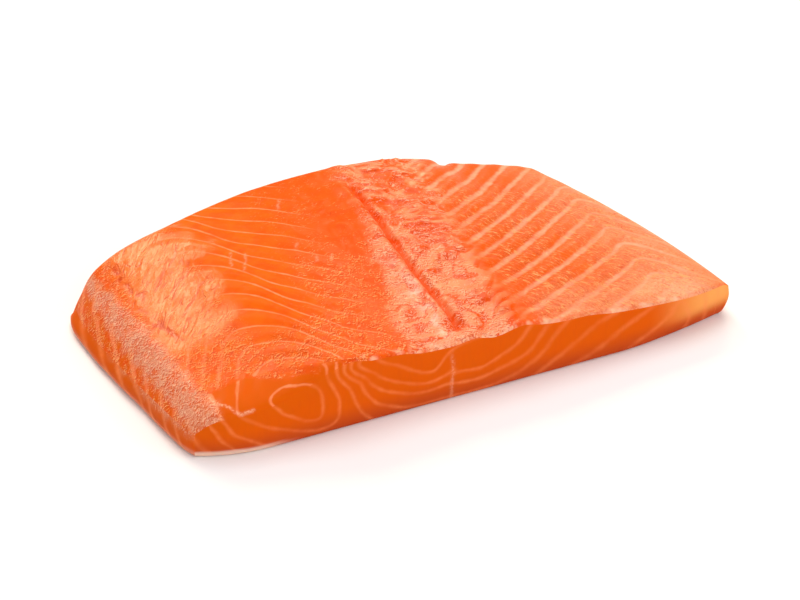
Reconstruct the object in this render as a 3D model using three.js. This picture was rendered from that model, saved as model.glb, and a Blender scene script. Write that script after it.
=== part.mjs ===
// Smoked trout: one portion cut across a large fillet, lying with its flesh side up.
//
// Millimetres. +Z is up and the underside lies on z = 0. +X runs from the thick spine side to the
// thin belly edge. The two knife cuts face -Y (the near cut) and +Y (the far cut). Every height and
// outline is worked out from two fractions: u runs from -1 at the spine side through 0 at the midline
// to 1 at the belly edge, and v runs from 0 at the near cut to 1 at the far cut.

import * as THREE from 'three';

// Driving dimensions of the portion
const NEAR_CUT_Y = -36;
const FAR_CUT_Y = 36.2;
const PORTION_LENGTH = 71;
const SPINE_HALF_WIDTH = 62;
const BELLY_HALF_WIDTH = 66;
const MIDLINE_NEAR_X = -2.15;
const MIDLINE_FAR_X = 0.85;

// Corners of the outline where the top turns down, and where the underside meets the table
const RIM = {
  nearSpine: [-61.9, -32.0], nearBelly: [69.6, -32.9], farSpine: [-66.9, 28.6], farBelly: [53.4, 30.9],
};
const FOOT = {
  nearSpine: [-62.0, -32.0], nearBelly: [68.6, -31.4], farSpine: [-67.2, 28.6], farBelly: [53.4, 30.6],
};

// How far the edges bow outwards, and how the spine side turns in at its two corners
const SPINE_BOW = 4.6;
const SPINE_NEAR_TURN = { inset: 1.0, length: 0.09 };
const SPINE_FAR_SWELL = { rim: 2.3, foot: 3.1, power: 8 };
const BELLY_BOW = 10.2;
const FAR_CUT_BOW = 1.3;

// Height of the flesh along each cut, as [distance from the midline as a fraction, height]
const NEAR_SPINE_HEIGHTS = [
  [0, 14.6], [0.11, 14.9], [0.225, 16.2], [0.33, 16.6], [0.41, 17.6], [0.5, 16.7],
  [0.6, 14.6], [0.725, 12.4], [0.81, 11.6], [0.9, 11.0], [1, 9.4],
];
const NEAR_BELLY_HEIGHTS = [
  [0, 14.6], [0.067, 15.2], [0.14, 14.2], [0.236, 15.3], [0.304, 14.2], [0.385, 13.5],
  [0.462, 13.3], [0.56, 12.1], [0.72, 11.1], [0.9, 10.5], [1, 9.8],
];
const FAR_SPINE_HEIGHTS = [
  [0, 20.9], [0.145, 20.7], [0.307, 20.0], [0.47, 18.3], [0.602, 16.4], [0.779, 13.5],
  [0.897, 10.1], [1, 6.8],
];
const FAR_BELLY_HEIGHTS = [
  [0, 20.9], [0.08, 20.5], [0.237, 20.0], [0.335, 18.9], [0.453, 17.4], [0.54, 15.4], [0.687, 13.2],
  [0.863, 10.9], [1, 9.8],
];
const CROWN = 1.0;

// Rounded edges: how wide each is and how far it drops
const NEAR_EDGE = { width: 0.9, drop: 0.7 };
const NEAR_EDGE_SOFTER = { width: 4.4, drop: 0.9 };
const FAR_EDGE = { width: 1.5, drop: 1.0 };
const SPINE_EDGE = { width: 7.0, drop: 3.2 };
const BELLY_EDGE = { width: 3.0, drop: 1.6 };
const FOOT_EDGE = { inset: 0.5, height: 0.7 };

// Swell of the walls, and the fraction of their height where it is fullest
const SPINE_SWELL = 1.5;
const BELLY_SWELL = 1.5;
const CUT_SWELL = 0.25;
const FULLEST_LEVEL = 0.45;

// Groove where the backbone lay, the raised lip on its spine side and the pit at its near end
const GROOVE = { x: 1.0, halfWidth: 0.8, depth: 1.4, nearEnd: -32, farEnd: 31 };
const LIP = { x: -1.2, halfWidth: 1.2, height: 0.5 };
const PIT = { x: 0.8, y: -31, radius: 2.1, depth: 0.9 };

// Crumpled membrane on the belly side and on the spine side of the groove: where it lies and how it folds.
// Its folds are sunken creases towards the near cut and raised ridges towards the far one.
const BELLY_LUMPS = { middle: 10, halfWidth: 7.5, height: 0.75, across: 5.2, along: 3.4, seed: 3 };
const SPINE_LUMPS = { middle: -7.5, halfWidth: 4.5, height: 0.35, across: 3.6, along: 4.6, seed: 8 };
const LUMP_WARP = { size: 8, reach: 0.7 };
const CREASES_END_Y = -6;
const RIDGES_START_Y = 4;

// Flesh swells a little between the sheets that divide the muscle
const SPINE_FLAKE_HEIGHT = 0.22;
const BELLY_FLAKE_HEIGHT = 0.38;
const SPINE_PITCH = 6.95;
const SPINE_FIRST_SHEET = 13.9;
const SPINE_SHEET_LEAN = 0.1;
const SPINE_SHEET = [
  [-60, 9.5], [-56.5, 16], [-52, 23], [-48, 29], [-44.5, 31], [-41, 29.5], [-37.5, 26], [-35, 21.8],
  [-32.3, 14.6], [-30, 9.8], [-26.5, 5], [-22, 0.9], [-12, -8],
];
const BELLY_PITCH = [[14, 5.6], [22, 5.9], [30, 6.2], [40, 6.8], [50, 7.27], [68, 7.6]];
const BELLY_SHEET = [
  [14, 16], [22, 22.7], [30, 29.4], [40, 40.9], [50, 51.9], [54.5, 56], [62, 49], [68, 42],
];

// Soft unevenness of the flesh and a nick in the rim of the far cut
const TOP_UNEVEN = { size: 13, height: 0.35, seed: 1 };
const WALL_UNEVEN = { size: 9, height: 0.3, seed: 5 };
const NICK = { x: 29.3, halfWidth: 1.5, depth: 1.3, length: 3.5 };

// Mesh steps: fine rows along the edges and beside the groove, even rows between
const SIDE_EDGE_STEPS = [0.5, 0.8, 1.2];
const CUT_EDGE_STEPS = [0.4, 0.7, 1.1];
const LIP_STEPS = [0.8, 0.8];
const GROOVE_STEPS = [0.8, 0.8, 0.8, 0.8, 0.8, 0.8];
const EVEN_STEP = 1.65;
const WALL_LEVELS = [0, 0.03, 0.12, 0.38, 0.7, 1];

const lerp = THREE.MathUtils.lerp;
const clamp = THREE.MathUtils.clamp;
const positive = (t) => Math.max(t, 0);

function ease(from, to, t) {
  const s = clamp((t - from) / (to - from), 0, 1);
  return s * s * (3 - 2 * s);
}

const bell = (t) => Math.exp(-t * t);

// A smooth curve through [t, value] pairs that never overshoots them
function through(points, t) {
  const last = points.length - 1;
  const x = clamp(t, points[0][0], points[last][0]);
  const slopeAfter = (i) => (points[i + 1][1] - points[i][1]) / (points[i + 1][0] - points[i][0]);
  const slopeAt = (i) => {
    if (i === 0) return slopeAfter(0);
    if (i === last) return slopeAfter(last - 1);
    const before = slopeAfter(i - 1);
    const after = slopeAfter(i);
    if (before * after <= 0) return 0;
    const gapBefore = points[i][0] - points[i - 1][0];
    const gapAfter = points[i + 1][0] - points[i][0];
    const weightBefore = 2 * gapAfter + gapBefore;
    const weightAfter = gapAfter + 2 * gapBefore;
    return (weightBefore + weightAfter) / (weightBefore / before + weightAfter / after);
  };
  let k = 0;
  while (k < last - 1 && x >= points[k + 1][0]) k += 1;
  const gap = points[k + 1][0] - points[k][0];
  const s = (x - points[k][0]) / gap;
  return (1 + 2 * s) * (1 - s) ** 2 * points[k][1] + s * (1 - s) ** 2 * gap * slopeAt(k)
    + s * s * (3 - 2 * s) * points[k + 1][1] - s * s * (1 - s) * gap * slopeAt(k + 1);
}

// Smooth seeded noise from -1 to 1 over a square lattice
function noise(x, y, seed) {
  const corner = (i, j) => {
    const wave = Math.sin(i * 127.1 + j * 311.7 + seed * 74.7) * 43758.5453;
    return 2 * (wave - Math.floor(wave)) - 1;
  };
  const i = Math.floor(x);
  const j = Math.floor(y);
  const fade = (t) => t * t * t * (t * (6 * t - 15) + 10);
  const across = fade(x - i);
  const along = fade(y - j);
  const near = lerp(corner(i, j), corner(i + 1, j), across);
  const far = lerp(corner(i, j + 1), corner(i + 1, j + 1), across);
  return lerp(near, far, along);
}

// Outline of the near cut, seen from above
function nearEdge(corners, u) {
  const reach = u < 0 ? MIDLINE_NEAR_X - corners.nearSpine[0] : corners.nearBelly[0] - MIDLINE_NEAR_X;
  const x = MIDLINE_NEAR_X + u * reach;
  const spineTurn = positive((-45 - x) / (-45 - corners.nearSpine[0])) ** 2.2;
  const bellyStart = corners === FOOT ? 40 : 55;
  const bellyPower = corners === FOOT ? 1.5 : 2;
  const bellyTurn = positive((x - bellyStart) / (corners.nearBelly[0] - bellyStart)) ** bellyPower;
  const y = NEAR_CUT_Y + (corners.nearSpine[1] - NEAR_CUT_Y) * spineTurn
    + (corners.nearBelly[1] - NEAR_CUT_Y) * bellyTurn;
  return [x, y];
}

// Outline of the far cut, a shallow bow
function farEdge(corners, u) {
  const reach = u < 0 ? MIDLINE_FAR_X - corners.farSpine[0] : corners.farBelly[0] - MIDLINE_FAR_X;
  const x = MIDLINE_FAR_X + u * reach;
  const bow = (at) => FAR_CUT_Y - FAR_CUT_BOW * ((at + 3) / 50) ** 2;
  const spineTurn = positive((-53 - x) / (-53 - corners.farSpine[0])) ** 3;
  const bellyTurn = positive((x - 42) / (corners.farBelly[0] - 42)) ** 2;
  const y = bow(x) - (bow(corners.farSpine[0]) - corners.farSpine[1]) * spineTurn
    - (bow(corners.farBelly[0]) - corners.farBelly[1]) * bellyTurn;
  return [x, y];
}

function spineEdge(corners, v) {
  const nearTurn = SPINE_NEAR_TURN.inset * (1 - v - positive(1 - v / SPINE_NEAR_TURN.length) ** 2);
  const farReach = corners === FOOT ? SPINE_FAR_SWELL.foot : SPINE_FAR_SWELL.rim;
  const farSwell = farReach * v * v * (1 - v ** SPINE_FAR_SWELL.power);
  const straight = lerp(corners.nearSpine[0], corners.farSpine[0], v);
  const x = straight - SPINE_BOW * v * (1 - v) - nearTurn - farSwell;
  return [x, lerp(corners.nearSpine[1], corners.farSpine[1], v)];
}

function bellyEdge(corners, v) {
  const x = lerp(corners.nearBelly[0], corners.farBelly[0], v) + BELLY_BOW * v * (1 - v);
  return [x, lerp(corners.nearBelly[1], corners.farBelly[1], v)];
}

// Place of (u, v) seen from above, blended from the four edges
function plan(corners, u, v) {
  const s = (u + 1) / 2;
  const near = nearEdge(corners, u);
  const far = farEdge(corners, u);
  const spine = spineEdge(corners, v);
  const belly = bellyEdge(corners, v);
  return [0, 1].map((axis) => {
    const cornerBlend = lerp(
      lerp(corners.nearSpine[axis], corners.nearBelly[axis], s),
      lerp(corners.farSpine[axis], corners.farBelly[axis], s),
      v,
    );
    return lerp(near[axis], far[axis], v) + lerp(spine[axis], belly[axis], s) - cornerBlend;
  });
}

// Height of the flesh before its edges are rounded
function fleshHeight(u, v) {
  const out = Math.abs(u);
  const near = through(u < 0 ? NEAR_SPINE_HEIGHTS : NEAR_BELLY_HEIGHTS, out);
  const far = through(u < 0 ? FAR_SPINE_HEIGHTS : FAR_BELLY_HEIGHTS, out);
  return lerp(near, far, v) + CROWN * 4 * v * (1 - v) * (1 - u * u);
}

// Drop of a crisp, round edge and of a soft one that runs on into the wall, at a distance from the rim
function crispDrop(distance, width, drop) {
  const q = clamp(1 - distance / width, 0, 1);
  return drop * (1 - Math.sqrt(1 - q * q));
}

function softDrop(distance, edge) {
  return edge.drop * positive(1 - distance / edge.width) ** 2;
}

function rounding(u, v) {
  const soft = ease(-0.4, -0.62, u);
  const width = NEAR_EDGE.width + NEAR_EDGE_SOFTER.width * soft;
  const near = crispDrop(v * PORTION_LENGTH, width, NEAR_EDGE.drop + NEAR_EDGE_SOFTER.drop * soft);
  const far = crispDrop((1 - v) * PORTION_LENGTH, FAR_EDGE.width, FAR_EDGE.drop);
  const side = u < 0
    ? softDrop((1 + u) * SPINE_HALF_WIDTH, SPINE_EDGE)
    : softDrop((1 - u) * BELLY_HALF_WIDTH, BELLY_EDGE);
  return Math.hypot(near, far, side);
}

function grooveRelief(x, y) {
  const length = ease(GROOVE.nearEnd, GROOVE.nearEnd + 3, y) * ease(GROOVE.farEnd, GROOVE.farEnd - 9, y);
  const groove = -GROOVE.depth * bell((x - GROOVE.x) / GROOVE.halfWidth);
  const lip = LIP.height * bell((x - LIP.x) / LIP.halfWidth);
  const pit = -PIT.depth * bell(Math.hypot(x - PIT.x, (y - PIT.y) * 0.7) / PIT.radius);
  return (groove + lip) * length + pit;
}

function lumpRelief(x, y, lumps) {
  const zone = bell((x - lumps.middle) / lumps.halfWidth);
  const warp = noise(x / LUMP_WARP.size, y / LUMP_WARP.size, lumps.seed + 1) * LUMP_WARP.reach;
  const ridges = 1 - 2 * Math.abs(noise(x / lumps.across + warp, y / lumps.along - warp, lumps.seed));
  const turn = lerp(-1, 1, ease(CREASES_END_Y, RIDGES_START_Y, y));
  return lumps.height * zone * ridges * turn;
}

// Flesh swelling between the muscle sheets, on either side of the midline
function flakeRelief(x, y) {
  const swell = (phase) => 0.5 - 0.5 * Math.cos(2 * Math.PI * phase);
  const spinePhase = (y - SPINE_FIRST_SHEET - through(SPINE_SHEET, x + SPINE_SHEET_LEAN * y)) / SPINE_PITCH;
  const bellyPhase = (through(BELLY_SHEET, x) - y) / through(BELLY_PITCH, x);
  const spineHeight = SPINE_FLAKE_HEIGHT * ease(-13, -20, x) * ease(-60, -52, x);
  const bellyHeight = BELLY_FLAKE_HEIGHT * ease(14, 22, x) * ease(68, 58, x);
  return spineHeight * swell(spinePhase) + bellyHeight * swell(bellyPhase);
}

function relief(u, v, x, y) {
  const inside = ease(0, 0.05, v) * ease(1, 0.97, v) * ease(1, 0.9, Math.abs(u));
  const uneven = TOP_UNEVEN.height * noise(x / TOP_UNEVEN.size, y / TOP_UNEVEN.size, TOP_UNEVEN.seed);
  const lumps = lumpRelief(x, y, BELLY_LUMPS) + lumpRelief(x, y, SPINE_LUMPS);
  const fromFarCut = (1 - v) * PORTION_LENGTH;
  const nick = NICK.depth * bell((x - NICK.x) / NICK.halfWidth) * ease(NICK.length, 0, fromFarCut);
  return (grooveRelief(x, y) + lumps + flakeRelief(x, y) + uneven) * inside - nick;
}

function topPoint(u, v) {
  const [x, y] = plan(RIM, u, v);
  return new THREE.Vector3(x, y, fleshHeight(u, v) - rounding(u, v) + relief(u, v, x, y));
}

// Distances from one end of a span: fine first steps, then even ones, then fine last steps
function stations(span, firstSteps, lastSteps) {
  const total = (steps) => steps.reduce((sum, step) => sum + step, 0);
  const middle = span - total(firstSteps) - total(lastSteps);
  const count = Math.round(middle / EVEN_STEP);
  const even = new Array(count).fill(middle / count);
  const places = [0];
  for (const step of [...firstSteps, ...even, ...lastSteps]) {
    places.push(places[places.length - 1] + step);
  }
  return places.map((place) => place / places[places.length - 1]);
}

const spineColumns = stations(SPINE_HALF_WIDTH, SIDE_EDGE_STEPS, LIP_STEPS).map((t) => t - 1);
const bellyColumns = stations(BELLY_HALF_WIDTH, GROOVE_STEPS, [...SIDE_EDGE_STEPS].reverse()).slice(1);
const columns = [...spineColumns, ...bellyColumns];
const rows = stations(PORTION_LENGTH, CUT_EDGE_STEPS, [...CUT_EDGE_STEPS].reverse());

// Points of the outline, anticlockwise from the near corner of the spine side
function outline() {
  const near = columns.slice(0, -1).map((u) => [u, 0]);
  const belly = rows.slice(0, -1).map((v) => [1, v]);
  const far = columns.slice(1).reverse().map((u) => [u, 1]);
  const spine = rows.slice(1).reverse().map((v) => [-1, v]);
  return [...near, ...belly, ...far, ...spine];
}

// Share of a wall's swell at a level, from none at the foot through all of it to none at the rim
function fullness(level) {
  const power = (1 - FULLEST_LEVEL) / FULLEST_LEVEL;
  return (level / FULLEST_LEVEL) * ((1 - level) / (1 - FULLEST_LEVEL)) ** power;
}

// Place on a wall at a level from 0 at the foot to 1 at the rim
function wallPoint(foot, rim, outward, v, level) {
  const z = rim.z * level;
  const swell = SPINE_SWELL * (0.5 + 0.5 * v) * positive(-outward.x) ** 1.5
    + BELLY_SWELL * positive(outward.x) ** 1.5
    + CUT_SWELL * outward.y ** 2;
  const uneven = WALL_UNEVEN.height
    * noise(foot.x / WALL_UNEVEN.size, (foot.y + z) / WALL_UNEVEN.size, WALL_UNEVEN.seed);
  const inset = crispDrop(z, FOOT_EDGE.height, FOOT_EDGE.inset);
  const out = (swell + uneven) * fullness(level) - inset;
  return new THREE.Vector3(
    lerp(foot.x, rim.x, level) + outward.x * out,
    lerp(foot.y, rim.y, level) + outward.y * out,
    z,
  );
}

function filletGeometry() {
  const points = [];
  const faces = [];
  const add = (point) => points.push(point) - 1;
  const quad = (a, b, c, d) => faces.push(a, b, c, a, c, d);

  const top = rows.map((v) => columns.map((u) => add(topPoint(u, v))));
  for (let row = 0; row < rows.length - 1; row += 1) {
    for (let column = 0; column < columns.length - 1; column += 1) {
      quad(top[row][column], top[row][column + 1], top[row + 1][column + 1], top[row + 1][column]);
    }
  }

  const ring = outline();
  const topIndex = ([u, v]) => top[rows.indexOf(v)][columns.indexOf(u)];
  const rimPoints = ring.map((place) => points[topIndex(place)]);
  const outwards = ring.map((_, i) => {
    const before = rimPoints[(i + ring.length - 1) % ring.length];
    const after = rimPoints[(i + 1) % ring.length];
    return new THREE.Vector3(after.y - before.y, before.x - after.x, 0).normalize();
  });
  const levels = WALL_LEVELS.map((level) => ring.map(([u, v], i) => {
    if (level === 1) return topIndex([u, v]);
    const [x, y] = plan(FOOT, u, v);
    return add(wallPoint(new THREE.Vector3(x, y, 0), rimPoints[i], outwards[i], v, level));
  }));
  for (let level = 0; level < levels.length - 1; level += 1) {
    for (let i = 0; i < ring.length; i += 1) {
      const next = (i + 1) % ring.length;
      quad(levels[level][i], levels[level][next], levels[level + 1][next], levels[level + 1][i]);
    }
  }

  const underside = add(new THREE.Vector3(0, 0, 0));
  for (let i = 0; i < ring.length; i += 1) {
    faces.push(underside, levels[0][(i + 1) % ring.length], levels[0][i]);
  }

  const geometry = new THREE.BufferGeometry().setFromPoints(points);
  geometry.setIndex(faces);
  geometry.computeBoundingBox();
  const middle = geometry.boundingBox.getCenter(new THREE.Vector3());
  geometry.translate(-middle.x, -middle.y, 0);
  geometry.computeVertexNormals();
  return geometry;
}

// Cold-smoked flesh: deep orange with a wet, oily gloss
const flesh = new THREE.MeshStandardMaterial({ color: 0xf07a30, roughness: 0.35, metalness: 0 });

const fillet = new THREE.Mesh(filletGeometry(), flesh);
fillet.name = 'fillet';

const smokedTrout = new THREE.Group();
smokedTrout.add(fillet);

export default smokedTrout;
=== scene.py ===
"""A portion of smoked trout, dressed: wet orange flesh with pale muscle sheets and a crumpled membrane.

One piece replaces the solid. It is worked out from the same sizes on a much finer mesh, with the fine
relief on top: the crumpled membrane, the groove and its lip, the creases and the streaks of the knife.
Smooth fields on the mesh say where each zone lies and how far along the stack of muscle sheets a point
is, and the material draws the sheets, fibres and wet crinkles from them, painting their glints, sheen and
shade.

Lengths are in millimetres until the mesh is made. +X runs from the spine side to the belly edge, -Y is
the near cut, and z = 0 is the underside.
"""

import math
from types import SimpleNamespace

import bpy
import numpy as np
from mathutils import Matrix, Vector


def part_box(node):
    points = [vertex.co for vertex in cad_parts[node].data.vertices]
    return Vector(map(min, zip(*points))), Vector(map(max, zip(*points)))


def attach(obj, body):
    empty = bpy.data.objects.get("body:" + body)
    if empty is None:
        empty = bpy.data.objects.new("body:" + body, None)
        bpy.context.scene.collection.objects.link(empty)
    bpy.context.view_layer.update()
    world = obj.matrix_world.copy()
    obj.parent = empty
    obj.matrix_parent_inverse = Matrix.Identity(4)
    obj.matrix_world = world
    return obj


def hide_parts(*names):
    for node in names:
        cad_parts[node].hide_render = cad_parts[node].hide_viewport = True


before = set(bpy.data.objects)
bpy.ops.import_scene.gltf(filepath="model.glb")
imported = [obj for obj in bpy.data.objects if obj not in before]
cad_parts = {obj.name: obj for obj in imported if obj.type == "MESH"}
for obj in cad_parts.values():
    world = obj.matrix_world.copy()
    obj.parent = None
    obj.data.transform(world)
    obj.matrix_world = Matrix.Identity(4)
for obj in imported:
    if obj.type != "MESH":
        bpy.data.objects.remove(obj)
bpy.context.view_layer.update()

MM = 0.001

# Driving dimensions of the portion
NEAR_CUT_Y = -36.0
FAR_CUT_Y = 36.2
PORTION_LENGTH = 71.0
SPINE_HALF_WIDTH = 62.0
BELLY_HALF_WIDTH = 66.0
MIDLINE_NEAR_X = -2.15
MIDLINE_FAR_X = 0.85

# Corners of the outline where the top turns down, and where the underside meets the table
RIM = {
    "near_spine": (-61.9, -32.0), "near_belly": (69.6, -32.9),
    "far_spine": (-66.9, 28.6), "far_belly": (53.4, 30.9),
}
FOOT = {
    "near_spine": (-62.0, -32.0), "near_belly": (68.6, -31.4),
    "far_spine": (-67.2, 28.6), "far_belly": (53.4, 30.6),
}

# How far the edges bow outwards, and how the spine side turns in at its two corners
SPINE_BOW = 4.6
SPINE_NEAR_TURN = {"inset": 1.0, "length": 0.09}
SPINE_FAR_SWELL = {"rim": 2.3, "foot": 3.1, "power": 8}
BELLY_BOW = 10.2
FAR_CUT_BOW = {"depth": 1.3, "middle_x": -3, "half_width": 50}

# Where each cut's outline starts to turn towards a corner, and how sharply it turns
NEAR_SPINE_TURN = {"start": -45, "power": 2.2}
NEAR_BELLY_TURN = {"start": 55, "power": 2}
NEAR_BELLY_FOOT_TURN = {"start": 40, "power": 1.5}
FAR_SPINE_TURN = {"start": -53, "power": 3}
FAR_BELLY_TURN = {"start": 42, "power": 2}

# Height of the flesh along each cut, as (distance from the midline as a fraction, height)
NEAR_SPINE_HEIGHTS = [
    (0, 14.6), (0.11, 14.9), (0.225, 16.2), (0.33, 16.6), (0.41, 17.6), (0.5, 16.7),
    (0.6, 14.6), (0.725, 12.4), (0.81, 11.6), (0.9, 11.0), (1, 9.4),
]
NEAR_BELLY_HEIGHTS = [
    (0, 14.6), (0.067, 15.2), (0.14, 14.2), (0.236, 15.3), (0.304, 14.2), (0.385, 13.5),
    (0.462, 13.3), (0.56, 12.1), (0.72, 11.1), (0.9, 10.5), (1, 9.8),
]
FAR_SPINE_HEIGHTS = [
    (0, 20.9), (0.145, 20.7), (0.307, 20.0), (0.47, 18.3), (0.602, 16.4), (0.779, 13.5),
    (0.897, 10.1), (1, 6.8),
]
FAR_BELLY_HEIGHTS = [
    (0, 20.9), (0.08, 20.5), (0.237, 20.0), (0.335, 18.9), (0.453, 17.4), (0.54, 15.4), (0.687, 13.2),
    (0.863, 10.9), (1, 9.8),
]
CROWN = 1.0

# Rounded edges: how wide each is and how far it drops
NEAR_EDGE = {"width": 0.9, "drop": 0.7}
NEAR_EDGE_SOFTER = {"width": 4.4, "drop": 0.9, "starts": -0.4, "full": -0.62}
FAR_EDGE = {"width": 1.5, "drop": 1.0}
SPINE_EDGE = {"width": 7.0, "drop": 3.2}
BELLY_EDGE = {"width": 3.0, "drop": 1.6}
FOOT_EDGE = {"inset": 0.5, "height": 0.7}

# Swell of the walls, and the fraction of their height where it is fullest
SPINE_SWELL = 1.5
BELLY_SWELL = 1.5
CUT_SWELL = 0.25
FULLEST_LEVEL = 0.45

# Groove where the backbone lay, the raised lip on its spine side and the pit at its near end
GROOVE = {"x": 1.0, "half_width": 0.8, "depth": 1.4, "near_end": (-32, -29), "far_end": (31, 22)}
GROOVE_WANDER = {"reach": 0.35, "across": 9, "along": 9, "seed": 21, "layers": 1}
LIP = {"x": -1.2, "half_width": 1.2, "height": 0.5}
PIT = {"x": 0.8, "y": -31, "radius": 2.1, "depth": 0.9, "shortening": 0.7}

# Crumpled membrane on the belly side and on the spine side of the groove: where it lies and how it folds
BELLY_LUMPS = {"middle": 10, "half_width": 7.5, "height": 0.75, "across": 5.2, "along": 3.4, "seed": 3}
SPINE_LUMPS = {"middle": -7.5, "half_width": 4.5, "height": 0.35, "across": 3.6, "along": 4.6, "seed": 8}
LUMP_WARP = {"size": 8, "reach": 0.7}
CREASES_END_Y = -6
RIDGES_START_Y = 4

# Where each side's stack of muscle sheets fades in beyond the midline, and out towards the edge
SPINE_STACK = {"fades_in": (-13, -20), "fades_out": (-60, -52)}
BELLY_STACK = {"fades_in": (14, 22), "fades_out": (68, 58)}

# The sheets that divide the muscle, on either side of the midline, as (x, y) of one sheet of the stack
SPINE_FLAKE_HEIGHT = 0.22
BELLY_FLAKE_HEIGHT = 0.38
SPINE_PITCH = 6.95
SPINE_FIRST_SHEET = 13.9
SPINE_SHEET_LEAN = 0.1
SPINE_SHEET = [
    (-60, 9.5), (-58, 13), (-55, 18.5), (-52, 23), (-48, 29.2), (-44.5, 31), (-41, 29.5), (-37.5, 26),
    (-35, 21.8), (-33.2, 17.3), (-31.3, 12), (-28.5, 7.6), (-24.5, 3), (-20, -0.5), (-12, -8), (-4, -14),
]
BELLY_PITCH = [(14, 5.6), (22, 5.9), (30, 6.2), (40, 6.8), (50, 7.27), (68, 7.6)]
BELLY_SHEET = [(14, 16), (22, 22.7), (30, 29.4), (40, 40.9), (50, 51.9), (54.5, 56), (62, 49), (68, 42)]

# Soft unevenness of the flesh and a nick in the rim of the far cut
TOP_UNEVEN = {"size": 13, "height": 0.35, "seed": 1}
WALL_UNEVEN = {"size": 9, "height": 0.3, "seed": 5}
NICK = {"x": 29.3, "half_width": 1.5, "depth": 1.3, "length": 3.5}

# Heights of the membrane's wrinkles, near and far, and depths of the knife's streaks and of the creases
WRINKLE_HEIGHTS = (0.2, 0.32)
STREAK_DEPTH = 0.22
CREASE_DEPTH = 0.15

# The sheets as they show on the near cut and round on the flank: (number of the sheet, its points), each
# point as (run, height). Run is x along the near cut, and goes on round the spine corner down the flank.
SPINE_CORNER_X = -62.0
SPINE_CORNER_Y = -32.0
BELLY_CORNER_X = 69.6
BELLY_CORNER_Y = -32.9
CORNER_REACH = 3
# The far cut shows the near one's pattern, part of a sheet further along and spread over its own width
FAR_SHEET_OFFSET = 0.37
NEAR_SPINE_SPREAD = 59.8
NEAR_BELLY_SPREAD = 70.0
# On the slope above the near cut they run on, leaning back towards the belly as they rise
SLOPE_LEAN = (-0.473, 0.718)
CUT_SHEETS = [
    (0.2, [(-40, 9.5)]),
    (1, [(-46, 12.5), (-44, 9.5), (-41, 7), (-38, 5.2), (-35, 4.7), (-34, 6.5), (-34, 9.5), (-34.5, 12),
         (-36.5, 13.8), (-39.5, 14.5)]),
    (2, [(-53, 10.5), (-50, 8), (-46, 5.5), (-42, 3.8), (-38, 2.3), (-33, 1.7), (-30.5, 3), (-30, 5.5),
         (-31, 11), (-32.8, 17)]),
    (3, [(-57, 10.5), (-54.5, 6), (-47.5, 1.3), (-22.7, 1), (-25.5, 5), (-28, 11), (-30.5, 16.5)]),
    (4, [(-60.5, 11), (-58, 6.5), (-55, 2.5), (-14, 1.3), (-21, 4.5), (-25, 11), (-28.5, 16.5)]),
    (5, [(-65.2, 7.8), (-62.6, 5.7), (-61, 2), (-4, 4.4), (-9, 4), (-16, 5.7), (-22.5, 10.3), (-27, 15.5)]),
    (6, [(-71.7, 7.8), (-68.9, 5.7), (-66.5, 3), (-2.6, 8), (-8, 6.3), (-12, 7), (-20, 11), (-25, 15.5)]),
    (7, [(-77.2, 7.1), (-73.8, 5.2), (-71, 2.5), (-3, 13), (-7, 9.2), (-10, 9.5), (-16, 13)]),
    (8, [(-84.6, 6.9), (-81.2, 5.1), (-78, 2.5)]),
    (9, [(-94.7, 8), (-90.3, 6.2), (-86.6, 4.9), (-83.1, 3)]),
    (10, [(-105.1, 7.8), (-100.9, 6.5), (-96.8, 5.1), (-92, 3)]),
    (11, [(-115.6, 7.2), (-110.5, 6.3), (-106.4, 4.9), (-101, 3)]),
    (12, [(-122, 6), (-118, 4.6), (-112, 2.8)]),
    (6, [(-2, 7), (5, 6.5), (9, 8), (13, 10), (16.5, 14)]),
    (5, [(8, 4.6), (17, 8), (21, 13)]),
    (4, [(10, 1.5), (15, 3), (19, 5.5), (22, 9), (27, 13.5)]),
    (3, [(20, 1.5), (25, 4.5), (30, 7.5), (34, 10), (38, 11.3)]),
    (2, [(28, 0.5), (34, 3), (39, 6), (44, 8.5), (48, 10.5)]),
    (1, [(44, 1.7), (49, 4), (53, 7), (55, 9.5), (57, 7), (58.5, 3.5)]),
    (2, [(60, 12), (62, 9), (63, 5)]),
    (3, [(66.5, 8), (67.5, 3)]),
    (4, [(72, 8), (73.5, 2)]),
    # Round on the belly edge they stand evenly
    *[(sheet, [(42 + 7.5 * sheet, 8), (44 + 7.5 * sheet, 2)]) for sheet in (6, 8, 10, 12)],
]

# Mesh steps: fine rows along the edges, even rows between
SIDE_EDGE_STEPS = [0.2, 0.3, 0.4]
CUT_EDGE_STEPS = [0.1, 0.15, 0.2, 0.25, 0.3, 0.35]
EVEN_STEP = 0.45
WALL_STEPS = 26
UNDERSIDE_RINGS = 8


def lerp(a, b, t):
    return a + (b - a) * t


def positive(t):
    return np.maximum(t, 0.0)


def ease(start, end, t):
    s = np.clip((t - start) / (end - start), 0.0, 1.0)
    return s * s * (3 - 2 * s)


def bell(t):
    return np.exp(-t * t)


def through(points, t):
    """A smooth curve through (t, value) pairs that never overshoots them."""
    x, y = (np.array(column, float) for column in zip(*points))
    gap = np.diff(x)
    slope = np.diff(y) / gap
    tangent = np.concatenate([slope[:1], np.zeros(len(x) - 2), slope[-1:]])
    for i in range(1, len(x) - 1):
        if slope[i - 1] * slope[i] > 0:
            before = 2 * gap[i] + gap[i - 1]
            after = gap[i] + 2 * gap[i - 1]
            tangent[i] = (before + after) / (before / slope[i - 1] + after / slope[i])
    at = np.clip(np.asarray(t, float), x[0], x[-1])
    k = np.clip(np.searchsorted(x, at, side="right") - 1, 0, len(gap) - 1)
    s = (at - x[k]) / gap[k]
    return (
        (1 + 2 * s) * (1 - s) ** 2 * y[k] + s * (1 - s) ** 2 * gap[k] * tangent[k]
        + s * s * (3 - 2 * s) * y[k + 1] - s * s * (1 - s) * gap[k] * tangent[k + 1]
    )


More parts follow.
